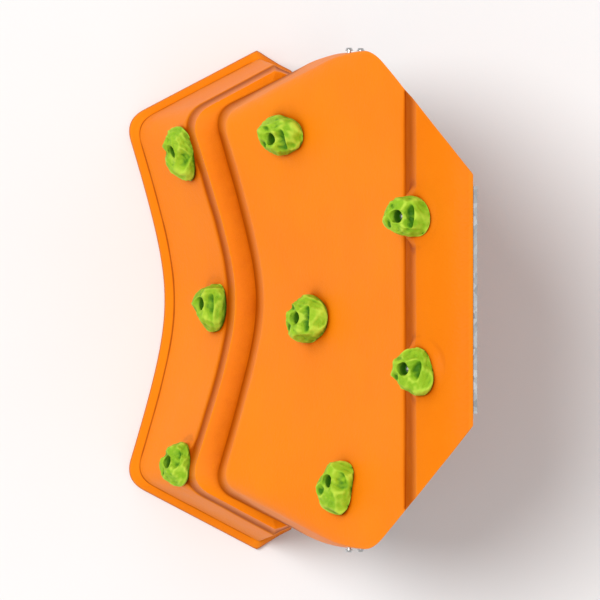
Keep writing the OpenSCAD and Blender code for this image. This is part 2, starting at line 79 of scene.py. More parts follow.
def smoothstep(start, end, value):
    part = np.clip((value - start) / (end - start), 0, 1)
    return part * part * (3 - 2 * part)


def soft_min(a, b, blend):
    """The lesser of two values, eased where they come within blend of each other."""
    near = np.maximum(blend - np.abs(a - b), 0) / blend
    return np.minimum(a, b) - near * near * blend / 4


def turn_angles(count):
    return np.arange(count) * 2 * math.pi / count


def box_of(node):
    """A node's lowest and highest corners in mm from the deck edge."""
    low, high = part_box(node)
    return np.array(low) / MM - SHIFT, np.array(high) / MM - SHIFT


# ------------------------------------------------------------------ main dimensions
LOWER_MIN, LOWER_MAX = box_of("lower_section")
UPPER_MIN, UPPER_MAX = box_of("upper_section")
DECK_HEIGHT = UPPER_MAX[2]
WALL = 8.0
HALF_WIDTH = 515.0                      # nominal, as are the numbers multiplied by a FIT

# Ratios that fit the nominal mm to the sections' boxes: height, depth, half width.
FIT_Z = DECK_HEIGHT / 1219.0
FIT_D = -LOWER_MIN[1] / (2 * 361.716)
FIT_W = UPPER_MAX[0] / HALF_WIDTH

# The upper shell: its sloping face, the riser above it and the lip back to the deck.
Z_JOINT = 388.5 * FIT_Z                 # where the two shells meet
Z_FACE_FOOT = 520.0 * FIT_Z
Z_FACE_TOP = 1050.0 * FIT_Z
Z_REAR = DECK_HEIGHT - 100.0            # the skirt's edge at the rear
D_FACE_TOP = 146.0 * FIT_D
D_LIP = 124.0 * FIT_D                   # the riser's top, where the lip begins
D_REAR = -UPPER_MAX[1]
D_EDGE = 378.0 * FIT_D                  # behind this the skirt's edge climbs to the rear
LIP_FALL = 0.0043 * FIT_Z               # how fast the lip drops with the square of depth
SHADE_BAND_RISE = 112.0 * FIT_Z               # height over which a painted-shade band fades

# A half plan curve, nominal mm: a bowed front of a depth at the middle, a slope it tends to
# and a bend that flattens its middle; a straight side through (side_half, side_depth) that
# gains "lean" of half width per mm toward the deck; a corner cut back by "corner" on both.
# The side ends at end_depth, and a tail of (half width, depth) points follows.
Curve = namedtuple("Curve", "z middle slope bend side_depth side_half lean corner end_depth tail",
                   defaults=(None, None))
LOWER_CURVES = [Curve(*row) for row in (
    (0, 598, 0.33, 150, 451, 471, 0.52, 36, 446, ((453, 405), (440, 379))),
    (0, 648, 0.33, 150, 451, 528, 0.52, 46, 451, ((499, 405), (485, 378))),
    (20, 646, 0.33, 150, 451, 526, 0.52, 46, 451, ((498, 405), (484, 378))),
    (36, 627, 0.33, 150, 447, 510, 0.52, 44, 447, ((490, 404), (479, 378))),
    (270, 511, 0.345, 125, 414, 494, 0.531, 52, 414, ((486, 400), (477, 378))),
    (380, 495, 0.345, 125, 412, 479, 0.531, 50, 412, ((476, 398), (468, 378))),
    (388, 454, 0.31, 120, 418, 457, 0.500, 48, 418, ((458, 398), (452, 378))),
    (388, 404, 0.31, 120, 425, 414, 0.450, 38, 425, ((416, 402), (408, 379))))]
FOOT, FACE_START, FACE_END = 1, 3, 4    # LOWER_CURVES at the foot and round the main face
NECK = 5                                # the curve just under the joint
FACE_CURVE = Curve(520, 437.5, 0.31, 120, 404, 446, 0.5, 44)
JOINT_CURVE = Curve(388, 454.5, 0.31, 120, 412, 460, 0.5, 48)


# ------------------------------------------------------------------ plan curves
def bow_depth(curve, half):
    reach = np.sqrt(half * half + curve.bend * curve.bend)
    return curve.middle + curve.slope * (reach - curve.bend)


def front_half(curve, front_count=10, corner_count=5):
    """(half width, depth) points from the middle along the front and round the corner."""
    slope, bend, lean = curve.slope, curve.bend, curve.lean
    both = lean * slope
    base = curve.side_half + lean * (curve.side_depth - curve.middle) + both * bend
    # where the bowed front meets the straight side
    root = math.sqrt(base * base - (1 - both * both) * (base * base - both * both * bend * bend))
    meet = (base - root) / (1 - both * both)
    corner = np.array([meet, bow_depth(curve, meet)])
    begin = meet - curve.corner / math.hypot(1, slope * meet / math.hypot(meet, bend))
    start = np.array([begin, bow_depth(curve, begin)])
    end = corner + curve.corner * unit([lean, -1.0])
    half = begin * np.arange(front_count) / front_count
    front = np.stack([half, bow_depth(curve, half)], 1)
    part = (np.arange(corner_count + 1) / corner_count)[:, None]
    rounded = (1 - part) ** 2 * start + 2 * part * (1 - part) * corner + part * part * end
    return np.vstack([front, rounded]) * [FIT_W, FIT_D]


def line_to(start, end, count):
    return np.array([mix(start, end, i / count) for i in range(1, count + 1)])


def long_half(curve, front_count, corner_count, side_count, tail_counts):
    """front_half carried on along the side and the tail."""
    front = front_half(curve, front_count, corner_count)
    end_half = curve.side_half + curve.lean * (curve.side_depth - curve.end_depth)
    last = np.array([end_half * FIT_W, curve.end_depth * FIT_D])
    parts = [front, line_to(front[-1], last, side_count)]
    for (half, depth), count in zip(curve.tail, tail_counts):
        point = np.array([half * FIT_W, depth * FIT_D])
        parts.append(line_to(last, point, count))
        last = point
    return np.vstack(parts)


def mirrored(half_curve, z):
    """A whole row of xyz points, left to right, from its right half."""
    left = [[-p[0], -p[1], z] for p in half_curve[:0:-1]]
    return np.array(left + [[p[0], -p[1], z] for p in half_curve])


def side_half(curve, widest, rear, depth):
    """The upper shell's half width: the curve's side, the widest part, the narrowing rear."""
    side = (curve.side_half + curve.lean * (curve.side_depth - depth / FIT_D)) * FIT_W
    ease = 26
    both = soft_min(side, widest * FIT_W, ease)
    return float(soft_min(both, (rear + 1.27 * depth / FIT_D) * FIT_W, ease))


def face_half(depth):
    return side_half(FACE_CURVE, 514, 247, depth)


def foot_half(depth):
    return side_half(JOINT_CURVE, HALF_WIDTH, 248, depth)


def lip_height(depth):
    return DECK_HEIGHT - LIP_FALL * (depth - D_REAR) ** 2


def edge_height(depth):
    if depth > D_EDGE:
        return Z_JOINT
    return Z_JOINT + (D_EDGE - depth) / (D_EDGE - D_REAR) * (Z_REAR - Z_JOINT)


GROWING = 15     # leading points of a coarse curve, over which the half width only grows


def depth_at(half, curve_points):
    return float(np.interp(half, curve_points[:GROWING, 0], curve_points[:GROWING, 1]))


# ------------------------------------------------------------------ hold places
# section; across: nominal x; along: part of the way up the face, or nominal depth past
# D_LIP for the lip; turn: degrees about the hold's axis. Then the outline: mean radius, and
# an amount and direction (degrees) for one, two and three lobes. Last the height, and how
# much and toward where the dome tilts.
Hold = namedtuple("Hold", "section across along turn radius one one_at two two_at three three_at "
                          "height tilt tilt_at")
HOLDS = [Hold(*row) for row in (
    ("lower", -320, 0.87, 8, 53, 0.20, 0, 0.19, 0, 0.06, 0, 36, 0.16, 250),
    ("lower", 9, 0.79, 0, 52, 0.14, 20, 0.03, 90, 0.06, 20, 41, 0.14, 230),
    ("lower", 346, 0.88, 6, 46, 0.12, 30, 0.05, 10, 0.07, 30, 38, 0.15, 240),
    ("face", -340, 0.325, 10, 48, 0.10, 180, 0.15, 90, 0.08, 100, 50, 0.16, 225),
    ("face", 39, 0.37, 10, 52, 0.10, 70, 0.04, 90, 0.09, 75, 50, 0.16, 250),
    ("face", 376, 0.645, -22, 51, 0.20, 0, 0.13, 0, 0.07, 20, 42, 0.15, 260),
    ("lip", -171, 7, -6, 48, 0.04, 90, 0.14, 90, 0.04, 50, 49, 0.18, 270),
    ("lip", 140, -4, 0, 47, 0.16, 35, 0.06, 35, 0.08, 35, 46, 0.16, 240))]
LOWER_HOLDS = [k for k, hold in enumerate(HOLDS) if hold.section == "lower"]
UPPER_HOLDS = [k for k, hold in enumerate(HOLDS) if hold.section != "lower"]
PAD_RADIUS, PAD_HEIGHT = 42.0, 4.0      # the flat raised pad under each hold
BORE = 5.6                              # radius of the bore through hold and shell
Frame = namedtuple("Frame", "place across up out")

LOWER_START = front_half(LOWER_CURVES[FACE_START])
LOWER_END = front_half(LOWER_CURVES[FACE_END])
FACE_FRONT = front_half(FACE_CURVE)


def lower_point(x, part):
    depth = mix(depth_at(abs(x), LOWER_START), depth_at(abs(x), LOWER_END), part)
    start, end = LOWER_CURVES[FACE_START].z, LOWER_CURVES[FACE_END].z
    return np.array([x, -depth, mix(start * FIT_Z, end * FIT_Z, part)])


def face_point(x, part):
    corner_half, corner_depth = FACE_FRONT[-1]
    half = face_half(mix(corner_depth, D_FACE_TOP, part))
    depth = mix(depth_at(abs(x) * corner_half / half, FACE_FRONT), D_FACE_TOP, part)
    return np.array([x, -depth, mix(Z_FACE_FOOT, Z_FACE_TOP, part)])


def hold_frame(hold):
    """A hold's place on the shell and its axes, taken from the shell's slope there."""
    x, part = hold.across * FIT_W, hold.along
    if hold.section == "lip":
        depth = D_LIP + part * FIT_D
        place = np.array([x, -depth, lip_height(depth)])
        out = unit([0, -1, 1])
    else:
        point = lower_point if hold.section == "lower" else face_point
        reach = 18
        place = point(x, part)
        out = unit(np.cross(point(x + reach, part) - point(x - reach, part),
                            point(x, part + 0.1) - point(x, part - 0.1)))
    across = unit(np.cross([0, 1, 0], out))
    if across[0] < 0:
        across = -across
    up = np.cross(out, across)
    if up[2] < 0:
        up = -up
    return Frame(place, across, up, out)


FRAMES = [hold_frame(hold) for hold in HOLDS]


# ------------------------------------------------------------------ mesh helpers
def grid_faces(rows, cols, closed=False):
    last = 0 if closed else 1
    return [[i * cols + j, i * cols + (j + 1) % cols,
             (i + 1) % rows * cols + (j + 1) % cols, (i + 1) % rows * cols + j]
            for i in range(rows - last) for j in range(cols - last)]


def join_rings(rings):
    """Faces between closed rings of point numbers."""
    faces = []
    for first, second in zip(rings, rings[1:]):
        for i in range(len(first)):
            j = (i + 1) % len(first)
            faces.append([first[j], first[i], second[i], second[j]])
    return faces


def edges_of(quads):
    """The edges, and how many faces share each."""
    grid = np.asarray(quads)
    edges = np.vstack([grid[:, [0, 1]], grid[:, [1, 2]], grid[:, [2, 3]], grid[:, [3, 0]]])
    return np.unique(np.sort(edges, 1), axis=0, return_counts=True)


def neighbour_sum(edges, values, weights=None):
    if weights is None:
        weights = np.ones(len(edges))
    if values.ndim > 1:
        weights = weights[:, None]
    total = np.zeros_like(values)
    np.add.at(total, edges[:, 0], values[edges[:, 1]] * weights)
    np.add.at(total, edges[:, 1], values[edges[:, 0]] * weights)
    return total


def neighbour_mean(edges, values, weights=None):
    share = np.maximum(neighbour_sum(edges, np.ones(len(values)), weights), 1e-9)
    return neighbour_sum(edges, values, weights) / (share[:, None] if values.ndim > 1 else share)


def edge_lengths(points, edges):
    return np.linalg.norm(points[edges[:, 0]] - points[edges[:, 1]], axis=1)


def face_normals(points, quads):
    grid = np.asarray(quads)
    return unit(np.cross(points[grid[:, 2]] - points[grid[:, 0]],
                         points[grid[:, 3]] - points[grid[:, 1]]))


def normals_of(points, quads):
    normals = np.zeros_like(points)
    flat = face_normals(points, quads)
    for corner in np.asarray(quads).T:
        np.add.at(normals, corner, flat)
    return unit(normals)


def signed_volume(points, quads):
    a, b, c, d = (points[corner] for corner in np.asarray(quads).T)
    return float((np.cross(a, b) * c).sum() + (np.cross(a, c) * d).sum()) / 6


def outward(points, faces):
    """The faces of a closed solid, turned to face out."""
    return [face[::-1] for face in faces] if signed_volume(points, faces) < 0 else faces


def waves(points, size, seed):
    """A smooth value in about -1..1 for each point, the same every run."""
    rng = np.random.RandomState(seed)
    out = np.zeros(len(points))
    total = 0
    for _ in range(10):
        direction = unit(rng.normal(size=3))
        rate = (2 * math.pi / size) * rng.uniform(0.6, 1.7)
        amount = rng.uniform(0.5, 1.0)
        out += amount * np.sin(points @ direction * rate + rng.uniform(0, 6.28))
        total += amount
    return out / total * 1.8


KEEP_SIZE = (0.5, -0.52)     # a smoothing step in and one back out, which doesn't shrink


def relax(points, quads, times, steps=(0.5,), weight=1.0):
    """Laplacian smoothing. A rim point moves only along the rim's own line."""
    edges, count = edges_of(quads)
    pull = 1 / np.maximum(edge_lengths(points, edges), 1.0)
    rim, rim_pull = edges[count == 1], pull[count == 1]
    on_rim = np.zeros((len(points), 1), bool)
    on_rim[rim.ravel()] = True
    weight = np.ones(len(points)) * weight
    for step in steps * times:
        target = np.where(on_rim, neighbour_mean(rim, points, rim_pull),
                          neighbour_mean(edges, points, pull))
        points = points + (step * weight)[:, None] * (target - points)
    return points


def crease_of(points, quads):
    """How hollow (+) or sharp (-) the sheet is at each point, per mm, smoothed a little."""
    edges, _ = edges_of(quads)
    ones = np.ones(len(points))
    spacing = (neighbour_sum(edges, ones, edge_lengths(points, edges))
               / neighbour_sum(edges, ones))
    sink = ((neighbour_mean(edges, points) - points) * normals_of(points, quads)).sum(1)
    crease = sink / np.maximum(spacing ** 2, 4) * 4
    for _ in range(2):
        crease = 0.5 * crease + 0.5 * neighbour_mean(edges, crease)
    return crease


def put_value(ob, name, values):
    """Stores a value for the first points of a mesh, and 0 for the rest."""
    full = np.zeros(len(ob.data.vertices))
    full[:len(values)] = values
    ob.data.attributes.new(name, "FLOAT", "POINT").data.foreach_set("value", full)


def new_object(name, points, faces):
    """A smooth closed solid, its faces turned out."""
    mesh = bpy.data.meshes.new(name)
    mesh.from_pydata(((np.asarray(points) + SHIFT) * MM).tolist(), [], faces)
    mesh.validate(verbose=False)
    mesh.update()
    mesh.polygons.foreach_set("use_smooth", [True] * len(mesh.polygons))
    ob = bpy.data.objects.new(name, mesh)
    bpy.context.scene.collection.objects.link(ob)
    if signed_volume(points, faces) < 0:
        mesh.flip_normals()
    return ob


def keep_in(points, low, high):
    """Squeezes the points, axis by axis, where they reach outside low..high."""
    least, most = points.min(0), points.max(0)
    out = points.copy()
    for i in range(3):
        if least[i] < low[i] or most[i] > high[i]:
            room = [max(least[i], low[i]), min(most[i], high[i])]
            out[:, i] = np.interp(points[:, i], [least[i], most[i]], room)
    return out


# ------------------------------------------------------------------ wall thickness
def rim_loops(quads):
    """Directed rim edges, as the faces run, chained into loops."""
    sides = [side for face in quads for side in zip(face, face[1:] + face[:1])]
    seen = set(sides)
    follow = {a: b for a, b in sides if (b, a) not in seen}
    loops = []
    while follow:
        start = next(iter(follow))
        loop, point = [start], follow.pop(start)
        while point != start:
            loop.append(point)
            point = follow.pop(point)
        loops.append(loop)
    return loops


def thicken(points, quads):
    """A closed shell: the sheet, its copy a wall further in, and a rounded rim between."""
    normals = normals_of(points, quads)
    flat = face_normals(points, quads)
    # how far the faces at a point lean from its own normal
    lean, hits = np.zeros(len(points)), np.zeros(len(points))
    for corner in np.asarray(quads).T:
        np.add.at(lean, corner, (flat * normals[corner]).sum(1))
        np.add.at(hits, corner, 1)
    sunk = points - (WALL / np.maximum(lean / hits, 0.40))[:, None] * normals
    inner = settle(points, unfold(points, sunk, quads), quads)
    parts = [points, inner]
    size = len(points)
    count = 2 * size
    faces = quads + [[size + i for i in reversed(face)] for face in quads]
    round_steps = 5
    for loop in rim_loops(quads):
        rim = points[loop]
        tangent = unit(np.roll(rim, -1, 0) - np.roll(rim, 1, 0))
        out = unit(np.cross(tangent, normals[loop]))      # faces lie to the rim's left
        middle = (rim + inner[loop]) / 2
        half = (rim - inner[loop]) / 2
        rings = [loop]
        for j in range(1, round_steps + 1):
            angle = math.pi * j / (round_steps + 1)
            parts.append(middle + half * math.cos(angle) + out * (WALL * 0.36 * math.sin(angle)))
            rings.append(list(range(count, count + len(loop))))
            count += len(loop)
        rings.append([size + i for i in loop])
        faces += join_rings(rings)
    return np.vstack(parts), faces


def unfold(points, inner, quads, rounds=60):
    """Smooths the inner skin where it folds over itself inside a tight bend."""
    grid = np.asarray(quads)
    edges, _ = edges_of(quads)
    outer_normals = face_normals(points, quads)
    inner = inner.copy()
    for _ in range(rounds):
        folded = (face_normals(inner, quads) * outer_normals).sum(1) < 0.25
        if not folded.any():
            break
        weight = np.zeros(len(points))
        weight[grid[folded].ravel()] = 1
        for _ in range(2):
            grown = weight.copy()
            np.maximum.at(grown, edges[:, 0], weight[edges[:, 1]] * 0.8)
            np.maximum.at(grown, edges[:, 1], weight[edges[:, 0]] * 0.8)
            weight = grown
        inner = inner + (0.6 * weight)[:, None] * (neighbour_mean(edges, inner) - inner)
    return inner


def settle(points, inner, quads):
    """Keeps the inner skin a full wall inside every part of the outer one."""
    grid = np.asarray(quads)
    tree = BVHTree.FromPolygons(points.tolist(), [tuple(face) for face in quads])
    todo = range(len(points))
    rounds, plain_rounds = 16, 3      # the last rounds only move points, without unfolding
    for k in range(rounds):
        moved = []
        for i in todo:
            point = Vector(inner[i])
            nearest, normal, _, dist = tree.find_nearest(point)
            offset = point - nearest
            if offset.dot(normal) >= 0:
                inner[i] = nearest - normal * WALL
            elif dist < WALL - 0.2:
                inner[i] = nearest + offset * (WALL / dist)
            else:
                continue
            moved.append(i)
        if not moved:
            break
        if k < rounds - plain_rounds:
            near = np.zeros(len(points), bool)
            near[moved] = True
            near[grid[near[grid].any(1)].ravel()] = True
            inner = unfold(points, inner, quads, 2)
            todo = np.nonzero(near)[0]
        else:
            todo = moved
    return inner


# ------------------------------------------------------------------ hold pads
def pad_coords(points, k):
    """Distance from hold k's axis, and height along it."""
    pad = FRAMES[k]
    offset = points - pad.place
    return np.hypot(offset @ pad.across, offset @ pad.up), offset @ pad.out


def lift_pads(points, holds):
    """Brings the sheet to a flat pad under each hold, blending out around it."""
    for k in holds:
        blend = 24.0 if HOLDS[k].section == "lip" else 9.0
        radius, height = pad_coords(points, k)
        near = (radius < PAD_RADIUS + blend) & (np.abs(height) < 75)
        fade = 1 - smoothstep(PAD_RADIUS - 1, PAD_RADIUS + blend, radius)
        lift = np.where(near, fade, 0) * (PAD_HEIGHT - height)
        points = points + lift[:, None] * FRAMES[k].out
    return points


def off_pads(points, holds, start, end):
    """0 on the pads, growing to 1 between start and end past their edge."""
    out = np.ones(len(points))
    for k in holds:
        radius, height = pad_coords(points, k)
        grow = smoothstep(PAD_RADIUS + start, PAD_RADIUS + end, radius)
        out = np.where(np.abs(height) < 90, out * grow, out)
    return out


def near_pads(points, holds, reach):
    """1 from just inside the pads' edge to reach past it, 0 elsewhere."""
    out = np.zeros(len(points))
    for k in holds:
        radius, height = pad_coords(points, k)
        ring = (radius > PAD_RADIUS - 6) & (radius < PAD_RADIUS + reach)
        out = np.maximum(out, np.where(ring & (np.abs(height) < 90), 1.0, 0.0))
    return out


# ------------------------------------------------------------------ shell details
def fractions(count, length, fine_start=False, fine_end=False):
    """Steps from 0 to 1 along a strip, with close ones beside an end that meets a crease."""
    near = np.array([2.0, 4.2, 6.8, 10.0]) / length
    head = [0.0] + (list(near) if fine_start else [])
    tail = (list(1 - near[::-1]) if fine_end else []) + [1.0]
    steps = head + list(np.linspace(head[-1], tail[0], count + 1))[1:-1] + tail
    return steps[1:]


def groove(points, rows, cols, row, depth, width, keep):
    """How deep to press a narrow groove along one row of the grid; keep scales it."""
    grid = points[:rows * cols].reshape(rows, cols, 3)
    gaps = np.linalg.norm(np.diff(grid, axis=0), axis=2)
    run = np.vstack([np.zeros(cols), np.cumsum(gaps, 0)])
    pressed = (depth * np.exp(-((run - run[row]) / width) ** 2)).ravel()
    return np.pad(pressed, (0, len(points) - rows * cols)) * keep


def revolve(axes, profile, count=96):
    """A closed ring of revolution about a frame's out axis, from a closed (r, z) outline."""
    points = np.array([
        axes.place + r * (math.cos(a) * axes.across + math.sin(a) * axes.up) + z * axes.out
        for r, z in profile for a in turn_angles(count)])
    return points, outward(points, grid_faces(len(profile), count, closed=True))


def boss_profile(back):
    """(r, z) of a bored boss behind a hold, its rear edge rounded."""
    edge, rounding = 41.0, 3.5
    out = [(BORE, -2.0), (edge, -2.0), (edge, -5.5)]
    out += [(edge - rounding * (1 - math.cos(a)), -back + rounding - rounding * math.sin(a))
            for a in np.linspace(0, math.pi / 2, 7)]
    return out + [(14.0, -back), (12.6, -back + 0.5), (7.4, -back + 0.5), (BORE, -back + 1.5)]


def add_bosses(ob, holds):
    bm = bmesh.new()
    bm.from_mesh(ob.data)
    for k in holds:
        back = 42 if HOLDS[k].section == "lip" else WALL + 4
        points, faces = revolve(FRAMES[k], boss_profile(back))
        verts = [bm.verts.new(((point + SHIFT) * MM).tolist()) for point in points]
        for face in faces:
            bm.faces.new([verts[i] for i in face]).smooth = True
    bm.to_mesh(ob.data)
    bm.free()
    ob.data.update()


def mesh_volume(mesh):
    points = np.empty(len(mesh.vertices) * 3)
    mesh.vertices.foreach_get("co", points)
    points = points.reshape(-1, 3)
    mesh.calc_loop_triangles()
    tris = np.empty(len(mesh.loop_triangles) * 3, np.int32)
    mesh.loop_triangles.foreach_get("vertices", tris)
    a, b, c = (points[corner] for corner in tris.reshape(-1, 3).T)
    return float((np.cross(a, b) * c).sum()) / 6


def make_cutter(holes, count=40):
    points, faces = [], []
    for middle, axis, radius, half in holes:
        axis = unit(axis)
        side = unit(np.cross(axis, [0.3, 0.9, 0.2]))
        other = np.cross(axis, side)
        k = len(points)
        for z in (-half, half):
            for j in range(count):
                angle = 2 * math.pi * (j + 0.37) / count
                spoke = math.cos(angle) * side + math.sin(angle) * other
                points.append(np.asarray(middle) + radius * spoke + z * axis)
        faces += [[k + j, k + (j + 1) % count, k + count + (j + 1) % count, k + count + j]
                  for j in range(count)]
        faces += [[k + j for j in range(count)][::-1], [k + count + j for j in range(count)]]
    mesh = bpy.data.meshes.new("cutter")
    mesh.from_pydata(((np.array(points) + SHIFT) * MM).tolist(), [], faces)
    cutter = bpy.data.objects.new("cutter", mesh)
    bpy.context.scene.collection.objects.link(cutter)
    return cutter


def bore(ob, holes):
    """Drills round holes, each (middle, axis, radius, half length), through a shell."""
    cutter = make_cutter(holes)
    mod = ob.modifiers.new("bores", "BOOLEAN")
    mod.operation, mod.solver, mod.object = "DIFFERENCE", "EXACT", cutter
    graph = bpy.context.evaluated_depsgraph_get()
    graph.update()
    drilled = bpy.data.meshes.new_from_object(ob.evaluated_get(graph),
                                              preserve_all_data_layers=True, depsgraph=graph)
    removed = mesh_volume(ob.data) - mesh_volume(drilled)
    expected = sum(math.pi * radius * radius * WALL for _, _, radius, _ in holes) * 1e-9
    ob.modifiers.remove(mod)
    bpy.data.objects.remove(cutter)
    # a boolean that failed takes away far too little or too much, and is left out
    if (0.5 * expected < removed < 2.5 * expected
            and len(drilled.vertices) > len(ob.data.vertices)):
        ob.data = drilled
        drilled.polygons.foreach_set("use_smooth", [True] * len(drilled.polygons))


def joint_holes():
    """Upright holes along the front of the joint, 25 mm in from its curve."""
    front = front_half(JOINT_CURVE)
    holes = []
    for i in range(-2, 3):
        x = i * 140 * FIT_W
        depth = float(np.interp(abs(x), front[:, 0], front[:, 1])) - 25
        holes.append(((x, -depth, Z_JOINT), (0, 0, 1), 4.6, 22))
    return holes


def make_shell(name, points, faces, crease, shade_band, holds, holes):
    ob = new_object(name, points, faces)
    put_value(ob, "crease", crease)
    put_value(ob, "shade_band", shade_band)
    hold_holes = [(FRAMES[k].place, FRAMES[k].out, BORE, 16) for k in holds]
    bore(ob, hold_holes + joint_holes() + holes)
    add_bosses(ob, holds)
    ob.data.set_sharp_from_angle(angle=math.radians(55))
    return ob


# ------------------------------------------------------------------ lower shell
# For each strip between two curves: steps, and whether they close up at its start and end.
LOWER_STRIPS = [(7, 0, 0), (3, 0, 0), (4, 0, 1), (33, 1, 1), (14, 1, 1), (7, 1, 0), (7, 0, 0)]


def lower_grid():
    """Rows of points, and the number of the row that lies on each curve."""
    rows = [mirrored(long_half(curve, 44, 12, 26, (6, 4)), curve.z * FIT_Z)
            for curve in LOWER_CURVES]
    grid, marks = [rows[0]], [0]
    for start, end, (count, fine_start, fine_end) in zip(rows, rows[1:], LOWER_STRIPS):
        length = float(np.median(np.linalg.norm(end - start, axis=1)))
        for part in fractions(count, length, fine_start, fine_end):
            grid.append(mix(start, end, part))
        marks.append(len(grid) - 1)
    return np.array(grid), marks


def foot_holes():
    x = 200 * FIT_W
    depth = depth_at(x, front_half(LOWER_CURVES[FOOT])) - 27.5
    return [((side * x, -depth, 4), (0, 0, 1), 6.0, 20) for side in (-1, 1)]


def build_lower():
    grid, marks = lower_grid()
    rows, cols = grid.shape[:2]
    quads = grid_faces(rows, cols)
    points = relax(grid.reshape(-1, 3), quads, 3, KEEP_SIZE)
    points = lift_pads(points, LOWER_HOLDS)
    points = relax(points, quads, 2, weight=near_pads(points, LOWER_HOLDS, 14))
    normals = normals_of(points, quads)
    # a faint unevenness, off the foot and the pads
    calm = smoothstep(2, 30, points[:, 2]) * (1 - near_pads(points, LOWER_HOLDS, 4))
    points = points + normals * (0.55 * waves(points, 130, 3) * calm)[:, None]
    # painted shade: a dark band fading up from the main face's top and a dark line along its top
    # groove; then the grooves pressed along both ends of the face
    clear = off_pads(points, LOWER_HOLDS, 4, 16)
    z = points[:, 2]
    shade_band = (1 - 0.9 * smoothstep(0.15, 1.1, (z - 270 * FIT_Z) / SHADE_BAND_RISE))
    shade_band = shade_band * smoothstep(262 * FIT_Z, 268 * FIT_Z, z) * (z < 386 * FIT_Z)
    shade_band[marks[NECK] * cols:] = 0
    top, foot = marks[FACE_END], marks[FACE_START]
    line = groove(points, rows, cols, top, 1.0, 7.5, clear)
    pressed = (groove(points, rows, cols, top, 4.0, 6.0, clear)
               + groove(points, rows, cols, foot, 1.4, 3.6, clear))
    points = points - normals * pressed[:, None]
    points[:, 2] = np.maximum(points[:, 2], LOWER_MIN[2])
    crease = crease_of(points, quads) * off_pads(points, LOWER_HOLDS, 0, 24)
    points, faces = thicken(points, quads)
    points[:, 2] = np.clip(points[:, 2], LOWER_MIN[2], LOWER_MAX[2])
    points = keep_in(points, LOWER_MIN, LOWER_MAX)
    # the stored value carries the painted shade band and the painted shade line
    return make_shell("lower_shell", points, faces, crease, np.maximum(shade_band * 0.95, line),
                      LOWER_HOLDS, foot_holes())


# ------------------------------------------------------------------ upper shell
FRONT_COUNTS = (46, 14)                   # steps along the front and round the corner
SKIRT_STEPS, FLANGE_STEPS = 26, 5


def upper_grid():
    """Rows up the face, the riser and the lip; each row's skirt depth; the face's last row."""
    front = front_half(FACE_CURVE, *FRONT_COUNTS)
    corner_half, corner_depth = front[-1]
    joint_depth = front_half(JOINT_CURVE, *FRONT_COUNTS)[-1][1]
    rows, skirt_depths = [], []

    def add_row(half, depths, z, skirt_depth):
        depths = np.broadcast_to(depths, len(front))
        rows.append(mirrored(np.stack([front[:, 0] / corner_half * half, depths], 1), z))
        skirt_depths.append(skirt_depth)

    for part in [0.0] + fractions(76, 600.0, fine_end=True):
        half = face_half(mix(corner_depth, D_FACE_TOP, part)) if part else corner_half
        add_row(half, mix(front[:, 1], D_FACE_TOP, part), mix(Z_FACE_FOOT, Z_FACE_TOP, part),
                mix(joint_depth, D_FACE_TOP, part))
    face_top = len(rows) - 1
    for part in fractions(17, 112.0, fine_start=True, fine_end=True):
        depth = mix(D_FACE_TOP, D_LIP, part)
        add_row(face_half(depth), depth, mix(Z_FACE_TOP, lip_height(D_LIP), part), depth)
    for part in fractions(22, 125.0, fine_start=True):
        depth = mix(D_LIP, D_REAR, part)
        add_row(face_half(depth), depth, lip_height(depth), depth)
    return np.array(rows), skirt_depths, face_top


def skirt_edges(grid, skirt_depths, rim):
    """The skirt's lower edge, and the inner edge of the flange turned in from it."""
    rows = len(grid)
    joint_row = mirrored(front_half(JOINT_CURVE, *FRONT_COUNTS), Z_JOINT)
    edge = []
    for i, j in rim:
        if i == 0:
            edge.append(joint_row[j])
        elif i == rows - 1:
            edge.append([grid[i][j][0], -D_REAR, Z_REAR])
        else:
            depth = skirt_depths[i]
            side = -1 if j == 0 else 1
            edge.append([side * foot_half(depth), -depth, edge_height(depth)])
    edge = np.array(edge)
    along = np.roll(edge, -1, 0) - np.roll(edge, 1, 0)
    inward = unit(np.stack([-along[:, 1], along[:, 0], np.zeros(len(along))], 1))
    # flange widths at the front, the rear and the sides, eased into each other
    width = np.array([45.0 if i == 0 else 16.0 if i == rows - 1 else 25.0 for i, _ in rim])
    for _ in range(6):
        width = (np.roll(width, 1) + width + np.roll(width, -1)) / 3
    for _ in range(3):
        inward = unit(np.roll(inward, 1, 0) + inward + np.roll(inward, -1, 0))
    flange = edge + inward * width[:, None]
    for _ in range(4):
        flange = (np.roll(flange, 1, 0) + 2 * flange + np.roll(flange, -1, 0)) / 4
    return edge, flange


def upper_sheet(grid, skirt_depths):
    """The grid with the skirt and flange added round its rim, and the rim's length."""
    rows, cols = grid.shape[:2]
    rim = [(0, j) for j in range(cols)] + [(i, cols - 1) for i in range(1, rows)]
    rim += [(rows - 1, j) for j in range(cols - 2, -1, -1)]
    rim += [(i, 0) for i in range(rows - 2, 0, -1)]
    edge, flange = skirt_edges(grid, skirt_depths, rim)
    flat = grid.reshape(-1, 3)
    rings, parts, count = [[i * cols + j for i, j in rim]], [flat], len(flat)
    for start, end, steps in ((flat[rings[0]], edge, SKIRT_STEPS), (edge, flange, FLANGE_STEPS)):
        for step in range(1, steps + 1):
            parts.append(mix(start, end, step / steps))
            rings.append(list(range(count, count + len(rim))))
            count += len(rim)
    return np.vstack(parts), grid_faces(rows, cols) + join_rings(rings), len(rim)


